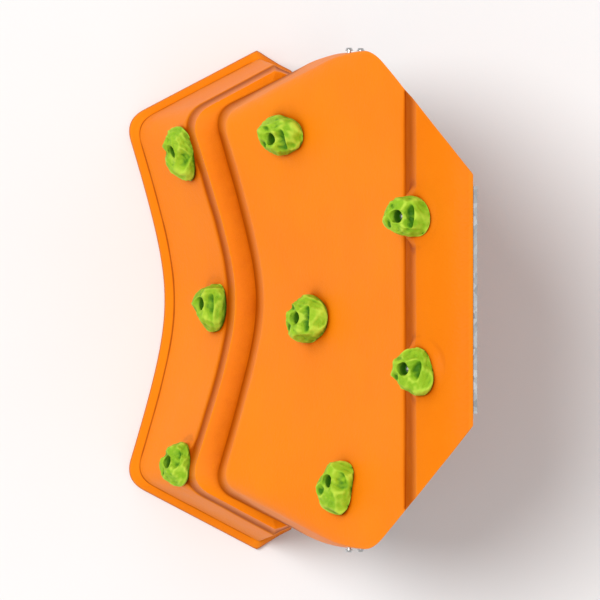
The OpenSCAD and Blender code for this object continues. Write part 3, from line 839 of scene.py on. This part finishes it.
def upper_shade_band(points, grid_size, skirt_size):
    """Painted shade: a dark strip fading up the riser, and one round the front of the skirt's foot.
    """
    depth, z = -points[:, 1], points[:, 2]
    on_grid = np.arange(len(points)) < grid_size
    shade_band = 0.92 * (1 - 0.8 * smoothstep(0.45, 1.1, (z - Z_FACE_TOP) / SHADE_BAND_RISE))
    shade_band = shade_band * (on_grid & (depth < D_FACE_TOP + 1) & (z > Z_FACE_TOP - 6 * FIT_Z))
    foot = 1 - 0.9 * smoothstep(0.05, 1.1, (z - Z_JOINT) / (Z_FACE_FOOT - Z_JOINT))
    foot = foot * ~on_grid
    foot[grid_size + skirt_size:] = 0
    return np.maximum(shade_band, foot * smoothstep(D_EDGE - 60 * FIT_D, D_EDGE, depth))


def upper_holes():
    """Holes through the rear of the skirt and through its sides."""
    rear = [((i * 120.0, -(D_REAR + 4), DECK_HEIGHT - 54), (0, 1, 0), 4.6, 16)
            for i in (-1.5, -0.5, 0.5, 1.5)]
    return rear + [((side * HALF_WIDTH * FIT_W, -depth, z * FIT_Z), (1, 0, 0), 4.6, 20)
                   for side in (-1, 1) for depth, z in ((236, 752), (260, 800))]


def build_upper():
    grid, skirt_depths, face_top = upper_grid()
    rows, cols = grid.shape[:2]
    points, quads, rim_size = upper_sheet(grid, skirt_depths)
    points = relax(points, quads, 4, KEEP_SIZE)
    points = lift_pads(points, UPPER_HOLDS)
    points = relax(points, quads, 3, weight=near_pads(points, UPPER_HOLDS, 30))
    normals = normals_of(points, quads)
    # a faint unevenness, off the pads and the rear edge
    calm = 1 - near_pads(points, UPPER_HOLDS, 4)
    calm = calm * smoothstep(D_REAR, D_REAR + 30, -points[:, 1])
    points = points + normals * (0.6 * waves(points, 150, 5) * calm)[:, None]
    # a groove where the face meets the riser, running out at the sides
    clear = off_pads(points, UPPER_HOLDS, 8, 34)
    from_side = np.minimum(np.arange(cols), cols - 1 - np.arange(cols))
    clear[:rows * cols] *= smoothstep(0, 3, np.tile(from_side, rows))
    # painted shade: a dark band up the riser and round the skirt's foot, and a dark line along the
    # face's top groove
    shade_band = upper_shade_band(points, rows * cols, rim_size * SKIRT_STEPS)
    line = groove(points, rows, cols, face_top, 1.0, 7.5, clear)
    points = points - normals * groove(points, rows, cols, face_top, 4.0, 6.0, clear)[:, None]
    crease = crease_of(points, quads) * off_pads(points, UPPER_HOLDS, 0, 40)
    points, faces = thicken(points, quads)
    points = keep_in(points, UPPER_MIN, UPPER_MAX)
    return make_shell("upper_shell", points, faces, crease, np.maximum(shade_band * 0.95, line),
                      UPPER_HOLDS, upper_holes())


# ------------------------------------------------------------------ holds
HOLD_COUNT_ROUND = 132
# The dome from its foot in to the dished middle: parts of the outline and of the height.
DOME = np.array([[0.97, 0], [1.0, 0.10], [1.0, 0.30], [0.95, 0.55],
                 [0.84, 0.80], [0.66, 0.96], [0.48, 1.0], [0.34, 0.93]])
# Dents in the dome: depth in heights; then in radii the middle (across, up the slope) and
# half size (across, up the slope); how square the dent's edge is.
DENTS = [(0.54, 0.0, 0.60, 0.52, 0.23, 1.5),
         (0.26, 0.34, -0.50, 0.22, 0.20, 1.3),
         (0.20, -0.46, -0.25, 0.16, 0.30, 1.3)]


def catmull(points, count):
    """A smooth curve through the points, with count steps between each two."""
    ends = np.vstack([2 * points[0] - points[1], points, 2 * points[-1] - points[-2]])
    out = []
    for a, b, c, d in zip(ends, ends[1:], ends[2:], ends[3:]):
        for step in range(count):
            t = step / count
            out.append(0.5 * ((2 * b) + (-a + c) * t + (2 * a - 5 * b + 4 * c - d) * t * t
                              + (-a + 3 * b - 3 * c + d) * t ** 3))
    out.append(points[-1])
    return np.array(out)


def hold_grid(hold):
    """Rings of a hold lying flat, and how free each point is to be carved, 0 to 1."""
    angles = turn_angles(HOLD_COUNT_ROUND)
    degrees = math.degrees(1) * angles
    height = hold.height

    def lobes(count, at):
        return np.cos(np.radians(count * (degrees - at)))

    outline = hold.radius * (1 + hold.one * lobes(1, hold.one_at) + hold.two * lobes(2, hold.two_at)
                             + hold.three * lobes(3, hold.three_at))
    tilt = hold.tilt * lobes(1, hold.tilt_at)
    rings = []

    def ring(radius, z):
        rings.append(np.stack([radius * np.cos(angles), radius * np.sin(angles),
                               np.broadcast_to(z, len(angles))], 1))

    ring(BORE, 0.0)
    for part in (0.2, 0.5, 0.8, 0.94):                        # the flat back
        ring(mix(BORE, outline * 0.97, part), 0.0)
    first = len(rings)
    dome = catmull(DOME, 6)
    for part, rise in dome:
        ring(outline * part, height * rise * (1 + tilt * part))
    mouth = outline * DOME[-1][0]
    for radius, rise in ((17.0, 0.90), (14.6, 0.84), (13.0, 0.79)):      # the dished middle
        ring(np.minimum(radius, mix(mouth, 12.9, (18.5 - radius) / 5.5)), height * rise)
    top, seat = height * 0.79, height * 0.42
    for radius, z in ((12.5, top - 1.2), (12.4, top - 3.0), (12.4, mix(seat, top, 0.5)),
                      (12.4, seat + 0.8), (11.8, seat), (8.5, seat), (6.0, seat),
                      (BORE, seat - 0.5), (BORE, seat * 0.5)):      # the counterbore and bore
        ring(radius, z)
    free = np.zeros(len(rings))
    last = first + len(dome)
    free[first:last] = 1
    free[first:first + 3] = [0.0, 0.4, 0.8]
    free[last:last + 2] = [0.5, 0.2]
    return np.array(rings), np.repeat(free, HOLD_COUNT_ROUND)


def carve_hold(hold, k, points, free):
    """Presses the dents, cuts flat facets off the dome and roughens it."""
    height, size = hold.height, hold.radius
    turn = math.radians(hold.turn)
    up = points[:, :2] @ np.array([math.sin(turn), math.cos(turn)])
    across = points[:, :2] @ np.array([math.cos(turn), -math.sin(turn)])
    dents = 0
    for depth, at_across, at_up, half_across, half_up, power in DENTS:
        away = (((across - at_across * size) / (half_across * size)) ** 2
                + ((up - at_up * size) / (half_up * size)) ** 2)
        dents = dents + depth * np.exp(-away ** power)
    points[:, 2] -= free * (points[:, 2] / height) * height * dents

    rng = np.random.RandomState(60 + k)
    lobe_at = math.radians(hold.one_at)
    offset = size * hold.one
    middle = np.array([offset * math.cos(lobe_at), offset * math.sin(lobe_at), 0.2 * height])
    for _ in range(15):
        azimuth = rng.uniform(0, 2 * math.pi)
        rise = math.radians(rng.uniform(12, 72))
        direction = np.array([math.cos(azimuth) * math.cos(rise),
                              math.sin(azimuth) * math.cos(rise), math.sin(rise)])
        far = (points - middle) @ direction
        limit = far[free > 0.5].max() * rng.uniform(0.85, 0.96)
        points = points - (free * np.maximum(far - limit, 0) * 0.92)[:, None] * direction

    seed = 20 + k
    lumps = (waves(points, 34, seed) * 1.5 + waves(points, 15, seed + 40) * 0.8
             + waves(points, 7, seed + 80) * 0.35)
    angles = np.tile(turn_angles(HOLD_COUNT_ROUND), len(points) // HOLD_COUNT_ROUND)
    radial = np.stack([np.cos(angles), np.sin(angles), np.full(len(points), 0.9)], 1)
    points = points + radial * (free * (lumps - 0.6))[:, None]
    points[:, 2] = np.maximum(points[:, 2], 0)
    return points


def hollow_of(points, faces, rows):
    """How far each point lies below those around it, smoothed a little."""
    normals = normals_of(points, faces)
    if signed_volume(points, faces) < 0:
        normals = -normals
    grid = points.reshape(rows, HOLD_COUNT_ROUND, 3)
    near = (np.roll(grid, 3, 0) + np.roll(grid, -3, 0) + np.roll(grid, 5, 1)
            + np.roll(grid, -5, 1)).reshape(-1, 3) / 4
    hollow = ((near - points) * normals).sum(1).reshape(rows, HOLD_COUNT_ROUND)
    for _ in range(2):
        hollow = (np.roll(hollow, 1, 0) + np.roll(hollow, -1, 0) + np.roll(hollow, 1, 1)
                  + np.roll(hollow, -1, 1) + 2 * hollow) / 6
    return hollow.ravel()


def build_hold(k):
    hold, axes = HOLDS[k], FRAMES[k]
    grid, free = hold_grid(hold)
    rows = len(grid)
    points = carve_hold(hold, k, grid.reshape(-1, 3), free)
    cos, sin = math.cos(math.radians(hold.turn)), math.sin(math.radians(hold.turn))
    x = points[:, 0] * cos - points[:, 1] * sin
    y = points[:, 0] * sin + points[:, 1] * cos
    z = points[:, 2] + PAD_HEIGHT + 0.2
    points = (axes.place + x[:, None] * axes.across + y[:, None] * axes.up
              + z[:, None] * axes.out)
    points = keep_in(points, *box_of("hold_%d" % (k + 1)))
    faces = grid_faces(rows, HOLD_COUNT_ROUND, closed=True)
    ob = new_object("climbing_hold_%d" % (k + 1), points, faces)
    put_value(ob, "hollow", hollow_of(points, faces, rows))
    return ob


# ------------------------------------------------------------------ weld beads
WELD_GAP = 0.8       # how far a bead's middle line stands off the tube


def bead(name, path, spokes, axis, radius):
    """A rippled weld bead along a closed path, its section spanned by spoke and axis."""
    count, around = len(path), 10
    points = []
    length = 0.0
    for i in range(count):
        if i:
            length += np.linalg.norm(path[i] - path[i - 1])
        ripple = 0.13 * math.sin(length * 2 * math.pi / 4.2) + 0.06 * math.sin(length * 0.37)
        for j in range(around):
            a = 2 * math.pi * j / around
            spoke = math.cos(a) * spokes[i] + 0.9 * math.sin(a) * np.array(axis)
            points.append(path[i] + radius * (1 + ripple) * spoke)
    points = np.array(points)
    return new_object(name, points, outward(points, grid_faces(count, around, closed=True)))


def foot_weld(side, middle, leg_radius):
    """Round the leg, on its base plate."""
    plate_top = box_of(side + "_base_plate")[1][2]
    angles = turn_angles(150)
    spokes = np.stack([np.cos(angles), np.sin(angles), np.zeros(len(angles))], 1)
    path = np.array([middle[0], middle[1], plate_top + 1.0]) + spokes * (leg_radius + WELD_GAP)
    return bead(side + "_foot_weld", path, spokes, (0, 0, 1), radius=3.2)


def tube_weld(side, level, middle, leg_radius):
    """Round the end of a cross tube, where it meets the leg."""
    low, high = box_of(level + "_cross_tube")
    tube = (low + high) / 2
    radius = (high[2] - low[2]) / 2 + WELD_GAP
    angles = turn_angles(120)
    spokes = np.stack([np.zeros(len(angles)), np.cos(angles), np.sin(angles)], 1)
    y, z = spokes[:, 1] * radius, spokes[:, 2] * radius
    inset = np.sqrt(np.maximum((leg_radius + WELD_GAP) ** 2 - y * y, 0))
    sign = -1 if side == "left" else 1
    path = np.stack([middle[0] - sign * inset, tube[1] + y, tube[2] + z], 1)
    return bead("%s_%s_tube_weld" % (side, level), path, spokes, (1, 0, 0), radius=2.8)


def build_beads():
    beads = []
    for side in ("left", "right"):
        low, high = box_of(side + "_leg")
        middle, radius = (low + high) / 2, (high[0] - low[0]) / 2
        beads.append(foot_weld(side, middle, radius))
        beads += [tube_weld(side, level, middle, radius) for level in ("upper", "lower")]
    return beads


# ------------------------------------------------------------------ materials
class Shader:
    """A node material with one Principled surface, fed by object coordinates."""

    def __init__(self, name):
        self.material = bpy.data.materials.new(name)
        self.material.use_nodes = True
        self.tree = self.material.node_tree
        self.tree.nodes.clear()
        out = self.add("OutputMaterial")
        self.surface = self.add("BsdfPrincipled")
        self.tree.links.new(self.surface.outputs["BSDF"], out.inputs["Surface"])
        self.place = self.add("TexCoord").outputs["Object"]

    def feed(self, node, inputs):
        for key, value in inputs.items():
            if isinstance(value, bpy.types.NodeSocket):
                self.tree.links.new(value, node.inputs[key])
            else:
                node.inputs[key].default_value = value

    def add(self, kind, inputs=None, **settings):
        node = self.tree.nodes.new("ShaderNode" + kind)
        for key, value in settings.items():
            setattr(node, key, value)
        self.feed(node, inputs or {})
        return node

    def set(self, name, value):
        self.feed(self.surface, {name: value})

    def noise(self, scale, detail=3.0, rough=0.55, place=None):
        return self.add("TexNoise", {"Scale": scale, "Detail": detail, "Roughness": rough,
                                     "Vector": place or self.place}).outputs["Fac"]

    def cells(self, scale):
        return self.add("TexVoronoi", {"Scale": scale, "Vector": self.place})

    def ramp(self, value, start, end, low=0.0, high=1.0):
        """Grey from low to high as the value goes from start to end."""
        node = self.add("ValToRGB", {"Fac": value})
        for stop, position, grey in zip(node.color_ramp.elements, (start, end), (low, high)):
            stop.position = position
            stop.color = (grey, grey, grey, 1)
        return node.outputs["Color"]

    def math(self, operation, first, second):
        return self.add("Math", {0: first, 1: second}, operation=operation).outputs[0]

    def times(self, first, second):
        return self.math("MULTIPLY", first, second)

    def spread(self, value, amount, base):
        return self.math("ADD", self.times(value, amount), base)

    def blend(self, mask, first, second):
        first, second = ((*c, 1) if isinstance(c, tuple) else c for c in (first, second))
        return self.add("Mix", {"Factor": mask, "A": first, "B": second},
                        data_type="RGBA").outputs["Result"]

    def tint(self, base, mask, strength, colour, breakup=None):
        mask = self.times(mask, strength)
        if breakup is not None:
            mask = self.times(mask, breakup)
        return self.blend(mask, base, colour)

    def bump(self, height, strength, distance, normal=None):
        inputs = {"Strength": strength, "Distance": distance, "Height": height}
        if normal is not None:
            inputs["Normal"] = normal
        return self.add("Bump", inputs).outputs["Normal"]

    def map(self, value, start, end, **settings):
        """0 at start, 1 at end."""
        return self.add("MapRange", {"From Min": start, "From Max": end, "Value": value},
                        **settings).outputs["Result"]

    def stored(self, name, start, end):
        """A value stored on the mesh, mapped to 0..1."""
        value = self.add("Attribute", attribute_name=name).outputs["Fac"]
        return self.map(value, start, end)

    def shut_in(self, reach, start, end):
        """0 to 1 as the open part of the space within reach (m) falls from start to end."""
        sky = self.add("AmbientOcclusion", {"Distance": reach}, samples=12).outputs["AO"]
        return self.map(sky, start, end, interpolation_type="SMOOTHSTEP")


def shell_material():
    m = Shader("shell_orange")
    broad = m.noise(scale=2.2)
    cloud = m.noise(scale=14, detail=4)
    speck = m.noise(scale=240, detail=2)
    base = m.blend(m.ramp(broad, start=0.35, end=0.68),
                   first=(0.93, 0.214, 0.0010), second=(0.93, 0.240, 0.0028))
    base = m.tint(base, m.ramp(cloud, start=0.45, end=0.75), strength=0.22,
                  colour=(0.95, 0.268, 0.0045))
    base = m.tint(base, m.ramp(speck, start=0.62, end=0.78), strength=0.12,
                  colour=(0.78, 0.140, 0.001))
    # painted shade darkens the shut-in hollows, the creases and the riser bands; the sharp bends
    # are painted paler, partly as wear and partly as painted highlight
    # noise that breaks up the painted shade
    shade_breakup = m.ramp(m.noise(scale=36, detail=5), start=0.2, end=0.75, low=0.66)
    shut = m.shut_in(reach=0.10, start=0.94, end=0.55)
    shade_band = m.stored("shade_band", start=0.0, end=1.0)
    # painted shade where the space close around is shut in
    base = m.tint(base, shut, strength=0.86, colour=(0.430, 0.058, 0.0), breakup=shade_breakup)
    # painted shade in the hollow creases
    base = m.tint(base, m.stored("crease", start=0.004, end=0.030), strength=0.90,
                  colour=(0.300, 0.038, 0.0), breakup=shade_breakup)
    # noise that breaks up the painted shade on the riser bands
    riser_shade_breakup = m.ramp(m.noise(scale=22, detail=5, rough=0.6), start=0.15, end=0.70, low=0.80)
    # painted shade on the riser bands
    base = m.tint(base, shade_band, strength=0.90, colour=(0.330, 0.040, 0.0), breakup=riser_shade_breakup)
    # sharp bends painted paler: part wear, part painted highlight
    base = m.tint(base, m.stored("crease", start=-0.010, end=-0.045), strength=0.22,
                  colour=(0.98, 0.300, 0.014))
    # scuffs from shoes, drawn out level and kept to patches
    flat = m.add("Mapping", {"Scale": (1.0, 1.0, 7.0), "Vector": m.place}).outputs["Vector"]
    scuff = m.ramp(m.noise(scale=16, detail=6, rough=0.7, place=flat), start=0.60, end=0.72)
    scuff = m.times(scuff, m.ramp(m.noise(scale=5, detail=2), start=0.52, end=0.66))
    base = m.tint(base, scuff, strength=0.16, colour=(0.95, 0.315, 0.018))
    m.set("Base Color", (0.93, 0.215, 0.002, 1))     # the plain colour kept behind the link
    m.set("Base Color", base)
    rough = m.spread(cloud, amount=0.16, base=0.40)
    m.set("Roughness", m.math("ADD", rough, m.times(scuff, 0.18)))
    grain = m.noise(scale=620, detail=2, rough=0.6)
    peel = m.noise(scale=95, detail=2, rough=0.5)
    dimple = m.cells(scale=210).outputs["Distance"]
    normal = m.bump(peel, strength=0.45, distance=0.0014)
    normal = m.bump(dimple, strength=0.35, distance=0.0008, normal=normal)
    m.set("Normal", m.bump(grain, strength=0.35, distance=0.0006, normal=normal))
    # the parts painted with shade lose their shine, so no reflection lightens them
    unshaded = m.math("SUBTRACT", 1.0, m.math("MAXIMUM", shade_band, shut))
    m.set("Specular IOR Level", m.times(unshaded, 0.085))
    return m.material


def hold_material():
    m = Shader("hold_green")
    broad = m.noise(scale=26)
    grit = m.noise(scale=420, rough=0.7)
    base = m.blend(m.ramp(broad, start=0.35, end=0.68),
                   first=(0.225, 0.470, 0.010), second=(0.340, 0.570, 0.018))
    base = m.tint(base, m.ramp(grit, start=0.56, end=0.72), strength=0.40,
                  colour=(0.48, 0.68, 0.05))
    # painted highlight makes the ridges paler, painted shade makes the hollows and pits darker
    base = m.tint(base, m.stored("hollow", start=-0.4, end=-2.0), strength=0.80,
                  colour=(0.55, 0.76, 0.06))
    base = m.tint(base, m.stored("hollow", start=0.10, end=1.6), strength=0.90,
                  colour=(0.035, 0.175, 0.001))
    # painted shade where the space close around is shut in
    base = m.tint(base, m.shut_in(reach=0.030, start=0.80, end=0.35), strength=0.85,
                  colour=(0.020, 0.120, 0.001))
    m.set("Base Color", (0.28, 0.52, 0.014, 1))      # the plain colour kept behind the link
    m.set("Base Color", base)
    m.set("Roughness", m.spread(grit, amount=0.2, base=0.48))
    normal = m.bump(m.cells(scale=330).outputs["Distance"], strength=0.40, distance=0.0014)
    m.set("Normal", m.bump(grit, strength=0.7, distance=0.0009, normal=normal))
    m.set("Specular IOR Level", 0.18)
    return m.material


def galvanised_material():
    m = Shader("galvanised")
    spangle = m.cells(scale=85).outputs["Color"]
    shade = m.add("SeparateColor", {"Color": spangle}).outputs
    cloud = m.noise(scale=12, detail=4)
    base = m.blend(shade["Red"], first=(0.19, 0.200, 0.206), second=(0.30, 0.310, 0.317))
    base = m.tint(base, m.ramp(cloud, start=0.40, end=0.75), strength=0.35,
                  colour=(0.27, 0.274, 0.27))
    m.set("Base Color", base)
    m.set("Metallic", 0.85)
    m.set("Roughness", m.spread(shade["Green"], amount=0.16, base=0.40))
    m.set("Normal", m.bump(m.noise(scale=160), strength=0.22, distance=0.0006))
    return m.material


def fastener_material():
    m = Shader("fastener_steel")
    fine = m.noise(scale=300, detail=4, rough=0.65)
    m.set("Base Color", m.blend(m.ramp(fine, start=0.3, end=0.7),
                                first=(0.50, 0.50, 0.50), second=(0.66, 0.66, 0.65)))
    m.set("Metallic", 1.0)
    m.set("Roughness", m.spread(fine, amount=0.18, base=0.22))
    m.set("Normal", m.bump(m.noise(scale=900, detail=2), strength=0.12, distance=0.0002))
    return m.material


def cap_material():
    m = Shader("cap_black")
    fine = m.noise(scale=500)
    m.set("Base Color", m.blend(m.ramp(fine, start=0.3, end=0.7),
                                first=(0.014, 0.014, 0.015), second=(0.028, 0.028, 0.030)))
    m.set("Roughness", m.spread(fine, amount=0.15, base=0.45))
    m.set("Normal", m.bump(fine, strength=0.25, distance=0.0004))
    return m.material


def floor_material():
    m = Shader("pale_floor")
    m.set("Base Color", m.blend(m.noise(scale=3.0),
                                first=(0.85, 0.85, 0.85), second=(0.87, 0.87, 0.87)))
    m.set("Roughness", 0.9)
    return m.material


MATERIALS = {"shell_orange": shell_material(), "hold_green": hold_material(),
             "galvanised": galvanised_material(), "fastener_steel": fastener_material(),
             "cap_black": cap_material()}


def dress(ob, slot):
    ob.data.materials.clear()
    ob.data.materials.append(MATERIALS[slot])


# ------------------------------------------------------------------ build
lower = build_lower()
upper = build_upper()
for ob, node in ((lower, "lower_section"), (upper, "upper_section")):
    dress(ob, "shell_orange")
    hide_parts(node)
    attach(ob, "root")
for k in range(len(HOLDS)):
    ob = build_hold(k)
    dress(ob, "hold_green")
    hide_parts("hold_%d" % (k + 1))
    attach(ob, "root")
for ob in build_beads():
    dress(ob, "galvanised")
    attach(ob, "root")

# the frame's own pieces keep their shape, with softened edges
slot_of = {part["node"]: part["material_slot"] for part in frame["record"]["subparts"]}
for name, ob in frame["nodes"].items():
    if ob.hide_render:
        continue
    dress(ob, slot_of[name])
    bevel = ob.modifiers.new("edge", "BEVEL")
    bevel.width = 0.0008 if slot_of[name] == "galvanised" else 0.0003
    bevel.segments = 2
    bevel.limit_method = "ANGLE"
    bevel.angle_limit = math.radians(40)
    bevel.use_clamp_overlap = True


# ------------------------------------------------------------------ stage, light, camera
def build_floor(half=60):
    z = CAD_BOX[0].z - 0.0005
    mesh = bpy.data.meshes.new("floor")
    mesh.from_pydata([(-half, -half, z), (half, -half, z), (half, half, z), (-half, half, z)],
                     [], [(0, 1, 2, 3)])
    floor = bpy.data.objects.new("floor", mesh)
    mesh.materials.append(floor_material())
    bpy.context.scene.collection.objects.link(floor)


def light_scene():
    world = bpy.data.worlds.new("studio")
    world.use_nodes = True
    background = world.node_tree.nodes["Background"]
    background.inputs["Color"].default_value = (1.0, 1.0, 1.0, 1)
    background.inputs["Strength"].default_value = 0.58
    bpy.context.scene.world = world
    light = bpy.data.lights.new("key", "SUN")
    light.energy = 1.95
    light.angle = math.radians(20)
    toward_sun = Vector((-0.16, -0.30, 1.0))
    key = bpy.data.objects.new("key", light)
    key.rotation_mode = "QUATERNION"
    key.rotation_quaternion = (-toward_sun).to_track_quat("-Z", "Y")
    bpy.context.scene.collection.objects.link(key)


def build_camera():
    """Looks straight down from far off, with the deck side at the right of the picture."""
    low, high = CAD_BOX
    centre = (low + high) / 2
    lens = bpy.data.cameras.new("camera")
    lens.type = "PERSP"
    lens.sensor_width = 36
    lens.lens = 1000
    lens.clip_start, lens.clip_end = 1, 200
    camera = bpy.data.objects.new("camera", lens)
    view_width = max(high.x - low.x, high.y - low.y) * 1.16
    distance = view_width / (36 / lens.lens)
    camera.matrix_world = Matrix(((0, -1, 0, centre.x), (1, 0, 0, centre.y),
                                  (0, 0, 1, high.z + distance), (0, 0, 0, 1)))
    bpy.context.scene.collection.objects.link(camera)
    bpy.context.scene.camera = camera


build_floor()
light_scene()
build_camera()
bpy.context.scene.view_settings.view_transform = "Standard"
